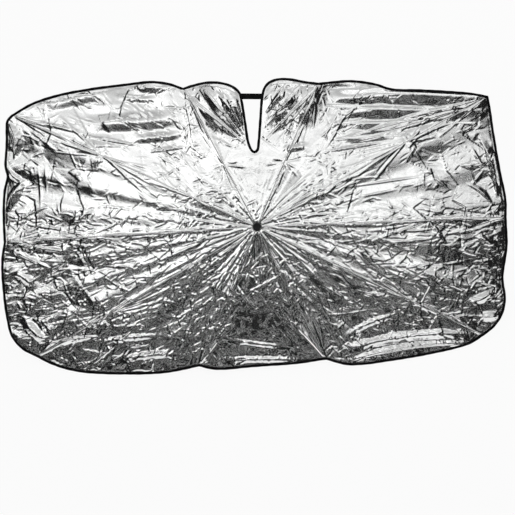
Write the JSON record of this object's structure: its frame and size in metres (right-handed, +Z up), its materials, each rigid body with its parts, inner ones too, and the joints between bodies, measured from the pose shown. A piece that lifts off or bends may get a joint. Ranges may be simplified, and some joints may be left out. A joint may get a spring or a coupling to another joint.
{
  "type": "windscreen sunshade",
  "caption": "Folding umbrella-type sunshade for a car windscreen: a silver cloth canopy with a mirror notch and strap, on hinged ribs, with a short shaft, runner and handle.",
  "frame": {"origin": "middle of the underside of the bounding box, on the surface that the open shade lies on", "axes": "+X along the length, to the right as seen from the silver face; +Y back, towards the edge with the mirror notch; +Z up, with the shade laid down open on its lower hem and the end of its handle"},
  "size_m": [1.3996, 0.69, 0.4463],
  "materials": {
    "foil": "crumpled silver-coated cloth, bright and metallic on the outside",
    "webbing": "black woven tape",
    "plastic": "moulded black plastic, satin",
    "steel": "plated steel, satin",
    "glassfibre": "black glass-fibre rod, satin"
  },
  "bodies": {
    "shade": {"shaft_tube": "steel", "crown_notch": "plastic", "crown_wire": "steel", "ferrule_cap": "plastic", "handle_grip": "plastic", "handle_cap": "plastic", "gore_01": "foil", "gore_02": "foil", "gore_03": "foil", "gore_04": "foil", "gore_05": "foil", "gore_06": "foil", "gore_07": "foil", "gore_08": "foil", "gore_09": "foil", "gore_10": "foil", "edge_binding": "webbing", "notch_strap": "webbing"},
    "runner": {"runner": "plastic"},
    "inner_rib_01": {"inner_rib_01": "steel"},
    "inner_rib_02": {"inner_rib_02": "steel"},
    "inner_rib_03": {"inner_rib_03": "steel"},
    "inner_rib_04": {"inner_rib_04": "steel"},
    "inner_rib_05": {"inner_rib_05": "steel"},
    "inner_rib_06": {"inner_rib_06": "steel"},
    "inner_rib_07": {"inner_rib_07": "steel"},
    "inner_rib_08": {"inner_rib_08": "steel"},
    "inner_rib_09": {"inner_rib_09": "steel"},
    "inner_rib_10": {"inner_rib_10": "steel"},
    "stretcher_01": {"stretcher_01": "steel"},
    "stretcher_02": {"stretcher_02": "steel"},
    "stretcher_03": {"stretcher_03": "steel"},
    "stretcher_04": {"stretcher_04": "steel"},
    "stretcher_05": {"stretcher_05": "steel"},
    "stretcher_06": {"stretcher_06": "steel"},
    "stretcher_07": {"stretcher_07": "steel"},
    "stretcher_08": {"stretcher_08": "steel"},
    "stretcher_09": {"stretcher_09": "steel"},
    "stretcher_10": {"stretcher_10": "steel"},
    "middle_rib_01": {"middle_rib_01": "steel"},
    "outer_rib_01": {"outer_rib_01": "glassfibre"},
    "middle_rib_02": {"middle_rib_02": "steel"},
    "outer_rib_02": {"outer_rib_02": "glassfibre"},
    "short_rib_03": {"short_rib_03": "steel"},
    "short_rib_04": {"short_rib_04": "steel"},
    "middle_rib_05": {"middle_rib_05": "steel"},
    "outer_rib_05": {"outer_rib_05": "glassfibre"},
    "middle_rib_06": {"middle_rib_06": "steel"},
    "outer_rib_06": {"outer_rib_06": "glassfibre"},
    "middle_rib_07": {"middle_rib_07": "steel"},
    "outer_rib_07": {"outer_rib_07": "glassfibre"},
    "short_rib_08": {"short_rib_08": "steel"},
    "short_rib_09": {"short_rib_09": "steel"},
    "middle_rib_10": {"middle_rib_10": "steel"},
    "outer_rib_10": {"outer_rib_10": "glassfibre"}
  },
  "joints": [
    {"name": "inner_rib_01_fold", "type": "hinge", "parent": "shade", "child": "inner_rib_01", "pos_m": [0.01999, -0.02771, 0.26212], "axis": [-0.0215, 0.8505, 0.5256], "range_deg": [0, 82], "deforming": ["gore_01", "gore_02", "gore_03", "gore_04", "gore_05", "gore_06", "gore_07", "gore_08", "gore_09", "gore_10", "edge_binding", "notch_strap"]},
    {"name": "inner_rib_02_fold", "type": "hinge", "parent": "shade", "child": "inner_rib_02", "pos_m": [0.0189, -0.02423, 0.26431], "axis": [-0.4775, 0.7401, 0.4736], "range_deg": [0, 82]},
    {"name": "inner_rib_03_fold", "type": "hinge", "parent": "shade", "child": "inner_rib_03", "pos_m": [0.01466, -0.02096, 0.26647], "axis": [-0.9127, 0.3326, 0.2376], "range_deg": [0, 82]},
    {"name": "inner_rib_04_fold", "type": "hinge", "parent": "shade", "child": "inner_rib_04", "pos_m": [0.00692, -0.02125, 0.26657], "axis": [-0.8911, -0.3996, -0.215], "range_deg": [0, 82]},
    {"name": "inner_rib_05_fold", "type": "hinge", "parent": "shade", "child": "inner_rib_05", "pos_m": [0.00288, -0.02483, 0.26451], "axis": [-0.4329, -0.7739, -0.4622], "range_deg": [0, 82]},
    {"name": "inner_rib_06_fold", "type": "hinge", "parent": "shade", "child": "inner_rib_06", "pos_m": [0.002, -0.02847, 0.26229], "axis": [0.0407, -0.8497, -0.5257], "range_deg": [0, 82]},
    {"name": "inner_rib_07_fold", "type": "hinge", "parent": "shade", "child": "inner_rib_07", "pos_m": [0.00315, -0.03189, 0.26014], "axis": [0.4897, -0.7342, -0.4704], "range_deg": [0, 82]},
    {"name": "inner_rib_08_fold", "type": "hinge", "parent": "shade", "child": "inner_rib_08", "pos_m": [0.00738, -0.03509, 0.25802], "axis": [0.9155, -0.3271, -0.2343], "range_deg": [0, 82]},
    {"name": "inner_rib_09_fold", "type": "hinge", "parent": "shade", "child": "inner_rib_09", "pos_m": [0.015, -0.03481, 0.25792], "axis": [0.895, 0.393, 0.2108], "range_deg": [0, 82]},
    {"name": "inner_rib_10_fold", "type": "hinge", "parent": "shade", "child": "inner_rib_10", "pos_m": [0.01904, -0.03131, 0.25993], "axis": [0.447, 0.7683, 0.4582], "range_deg": [0, 82]},
    {"name": "runner_slide", "type": "slide", "parent": "shade", "child": "runner", "axis": [-0.0302, 0.5249, -0.8506], "range_m": [0, 0.1468]},
    {"name": "stretcher_01_fold", "type": "hinge", "parent": "inner_rib_01", "child": "stretcher_01", "pos_m": [0.11956, -0.02113, 0.25556], "axis": [-0.0215, 0.8505, 0.5256], "range_deg": [-134.51, 0]},
    {"name": "stretcher_02_fold", "type": "hinge", "parent": "inner_rib_02", "child": "stretcher_02", "pos_m": [0.10637, 0.0209, 0.28197], "axis": [-0.4775, 0.7401, 0.4736], "range_deg": [-134.51, 0]},
    {"name": "stretcher_03_fold", "type": "hinge", "parent": "inner_rib_03", "child": "stretcher_03", "pos_m": [0.05517, 0.06041, 0.30816], "axis": [-0.9127, 0.3326, 0.2376], "range_deg": [-134.51, 0]},
    {"name": "stretcher_04_fold", "type": "hinge", "parent": "inner_rib_04", "child": "stretcher_04", "pos_m": [-0.03846, 0.05694, 0.30933], "axis": [-0.8911, -0.3996, -0.215], "range_deg": [-134.51, 0]},
    {"name": "stretcher_05_fold", "type": "hinge", "parent": "inner_rib_05", "child": "stretcher_05", "pos_m": [-0.08723, 0.01371, 0.28439], "axis": [-0.4329, -0.7739, -0.4622], "range_deg": [-134.51, 0]},
    {"name": "stretcher_06_fold", "type": "hinge", "parent": "inner_rib_06", "child": "stretcher_06", "pos_m": [-0.09787, -0.03034, 0.25758], "axis": [0.0407, -0.8497, -0.5257], "range_deg": [-134.51, 0]},
    {"name": "stretcher_07_fold", "type": "hinge", "parent": "inner_rib_07", "child": "stretcher_07", "pos_m": [-0.08401, -0.07172, 0.23156], "axis": [0.4897, -0.7342, -0.4704], "range_deg": [-134.51, 0]},
    {"name": "stretcher_08_fold", "type": "hinge", "parent": "inner_rib_08", "child": "stretcher_08", "pos_m": [-0.03285, -0.11036, 0.2059], "axis": [0.9155, -0.3271, -0.2343], "range_deg": [-134.51, 0]},
    {"name": "stretcher_09_fold", "type": "hinge", "parent": "inner_rib_09", "child": "stretcher_09", "pos_m": [0.05923, -0.10701, 0.20471], "axis": [0.895, 0.393, 0.2108], "range_deg": [-134.51, 0]},
    {"name": "stretcher_10_fold", "type": "hinge", "parent": "inner_rib_10", "child": "stretcher_10", "pos_m": [0.1081, -0.06472, 0.22907], "axis": [0.447, 0.7683, 0.4582], "range_deg": [-134.51, 0]},
    {"name": "middle_rib_01_fold", "type": "hinge", "parent": "inner_rib_01", "child": "middle_rib_01", "pos_m": [0.20457, -0.0163, 0.25122], "axis": [-0.0215, 0.8505, 0.5256], "range_deg": [-177, 0]},
    {"name": "outer_rib_01_fold", "type": "hinge", "parent": "middle_rib_01", "child": "outer_rib_01", "pos_m": [0.48012, 0.01179, 0.21705], "axis": [-0.0215, 0.8505, 0.5256], "range_deg": [0, 168]},
    {"name": "middle_rib_02_fold", "type": "hinge", "parent": "inner_rib_02", "child": "middle_rib_02", "pos_m": [0.18106, 0.05864, 0.2983], "axis": [-0.4775, 0.7401, 0.4736], "range_deg": [-177, 0]},
    {"name": "outer_rib_02_fold", "type": "hinge", "parent": "middle_rib_02", "child": "outer_rib_02", "pos_m": [0.42307, 0.19365, 0.33129], "axis": [-0.4775, 0.7401, 0.4736], "range_deg": [0, 168]},
    {"name": "short_rib_03_fold", "type": "hinge", "parent": "inner_rib_03", "child": "short_rib_03", "pos_m": [0.08977, 0.12908, 0.34499], "axis": [-0.9127, 0.3326, 0.2376], "range_deg": [-177, 0]},
    {"name": "short_rib_04_fold", "type": "hinge", "parent": "inner_rib_04", "child": "short_rib_04", "pos_m": [-0.07714, 0.12287, 0.34708], "axis": [-0.8911, -0.3996, -0.215], "range_deg": [-177, 0]},
    {"name": "middle_rib_05_fold", "type": "hinge", "parent": "inner_rib_05", "child": "middle_rib_05", "pos_m": [-0.16408, 0.04581, 0.30262], "axis": [-0.4329, -0.7739, -0.4622], "range_deg": [-177, 0]},
    {"name": "outer_rib_05_fold", "type": "hinge", "parent": "middle_rib_05", "child": "outer_rib_05", "pos_m": [-0.41454, 0.16253, 0.34178], "axis": [-0.4329, -0.7739, -0.4622], "range_deg": [0, 168]},
    {"name": "middle_rib_06_fold", "type": "hinge", "parent": "inner_rib_06", "child": "middle_rib_06", "pos_m": [-0.18305, -0.03272, 0.25483], "axis": [0.0407, -0.8497, -0.5257], "range_deg": [-177, 0]},
    {"name": "outer_rib_06_fold", "type": "hinge", "parent": "middle_rib_06", "child": "outer_rib_06", "pos_m": [-0.46058, -0.02806, 0.22581], "axis": [0.0407, -0.8497, -0.5257], "range_deg": [0, 168]},
    {"name": "middle_rib_07_fold", "type": "hinge", "parent": "inner_rib_07", "child": "middle_rib_07", "pos_m": [-0.15835, -0.10649, 0.20844], "axis": [0.4897, -0.7342, -0.4704], "range_deg": [-177, 0]},
    {"name": "outer_rib_07_fold", "type": "hinge", "parent": "middle_rib_07", "child": "outer_rib_07", "pos_m": [-0.40063, -0.20708, 0.11322], "axis": [0.4897, -0.7342, -0.4704], "range_deg": [0, 168]},
    {"name": "short_rib_08_fold", "type": "hinge", "parent": "inner_rib_08", "child": "short_rib_08", "pos_m": [-0.06714, -0.17537, 0.1627], "axis": [0.9155, -0.3271, -0.2343], "range_deg": [-177, 0]},
    {"name": "short_rib_09_fold", "type": "hinge", "parent": "inner_rib_09", "child": "short_rib_09", "pos_m": [0.09702, -0.1694, 0.16057], "axis": [0.895, 0.393, 0.2108], "range_deg": [-177, 0]},
    {"name": "middle_rib_10_fold", "type": "hinge", "parent": "inner_rib_10", "child": "middle_rib_10", "pos_m": [0.18414, -0.09401, 0.20399], "axis": [0.447, 0.7683, 0.4582], "range_deg": [-177, 0]},
    {"name": "outer_rib_10_fold", "type": "hinge", "parent": "middle_rib_10", "child": "outer_rib_10", "pos_m": [0.43055, -0.17682, 0.10243], "axis": [0.447, 0.7683, 0.4582], "range_deg": [0, 168]}
  ],
  "couplings": [
    {"joint": "inner_rib_02_fold", "follows": "inner_rib_01_fold", "ratio": 1},
    {"joint": "inner_rib_03_fold", "follows": "inner_rib_01_fold", "ratio": 1},
    {"joint": "inner_rib_04_fold", "follows": "inner_rib_01_fold", "ratio": 1},
    {"joint": "inner_rib_05_fold", "follows": "inner_rib_01_fold", "ratio": 1},
    {"joint": "inner_rib_06_fold", "follows": "inner_rib_01_fold", "ratio": 1},
    {"joint": "inner_rib_07_fold", "follows": "inner_rib_01_fold", "ratio": 1},
    {"joint": "inner_rib_08_fold", "follows": "inner_rib_01_fold", "ratio": 1},
    {"joint": "inner_rib_09_fold", "follows": "inner_rib_01_fold", "ratio": 1},
    {"joint": "inner_rib_10_fold", "follows": "inner_rib_01_fold", "ratio": 1},
    {"joint": "runner_slide", "follows": "inner_rib_01_fold", "m_per_rad": 0.10257},
    {"joint": "stretcher_01_fold", "follows": "inner_rib_01_fold", "ratio": -1.6403},
    {"joint": "stretcher_02_fold", "follows": "inner_rib_01_fold", "ratio": -1.6403},
    {"joint": "stretcher_03_fold", "follows": "inner_rib_01_fold", "ratio": -1.6403},
    {"joint": "stretcher_04_fold", "follows": "inner_rib_01_fold", "ratio": -1.6403},
    {"joint": "stretcher_05_fold", "follows": "inner_rib_01_fold", "ratio": -1.6403},
    {"joint": "stretcher_06_fold", "follows": "inner_rib_01_fold", "ratio": -1.6403},
    {"joint": "stretcher_07_fold", "follows": "inner_rib_01_fold", "ratio": -1.6403},
    {"joint": "stretcher_08_fold", "follows": "inner_rib_01_fold", "ratio": -1.6403},
    {"joint": "stretcher_09_fold", "follows": "inner_rib_01_fold", "ratio": -1.6403},
    {"joint": "stretcher_10_fold", "follows": "inner_rib_01_fold", "ratio": -1.6403},
    {"joint": "middle_rib_01_fold", "follows": "inner_rib_01_fold", "ratio": -2.1585},
    {"joint": "outer_rib_01_fold", "follows": "inner_rib_01_fold", "ratio": 2.0488},
    {"joint": "middle_rib_02_fold", "follows": "inner_rib_01_fold", "ratio": -2.1585},
    {"joint": "outer_rib_02_fold", "follows": "inner_rib_01_fold", "ratio": 2.0488},
    {"joint": "short_rib_03_fold", "follows": "inner_rib_01_fold", "ratio": -2.1585},
    {"joint": "short_rib_04_fold", "follows": "inner_rib_01_fold", "ratio": -2.1585},
    {"joint": "middle_rib_05_fold", "follows": "inner_rib_01_fold", "ratio": -2.1585},
    {"joint": "outer_rib_05_fold", "follows": "inner_rib_01_fold", "ratio": 2.0488},
    {"joint": "middle_rib_06_fold", "follows": "inner_rib_01_fold", "ratio": -2.1585},
    {"joint": "outer_rib_06_fold", "follows": "inner_rib_01_fold", "ratio": 2.0488},
    {"joint": "middle_rib_07_fold", "follows": "inner_rib_01_fold", "ratio": -2.1585},
    {"joint": "outer_rib_07_fold", "follows": "inner_rib_01_fold", "ratio": 2.0488},
    {"joint": "short_rib_08_fold", "follows": "inner_rib_01_fold", "ratio": -2.1585},
    {"joint": "short_rib_09_fold", "follows": "inner_rib_01_fold", "ratio": -2.1585},
    {"joint": "middle_rib_10_fold", "follows": "inner_rib_01_fold", "ratio": -2.1585},
    {"joint": "outer_rib_10_fold", "follows": "inner_rib_01_fold", "ratio": 2.0488}
  ]
}
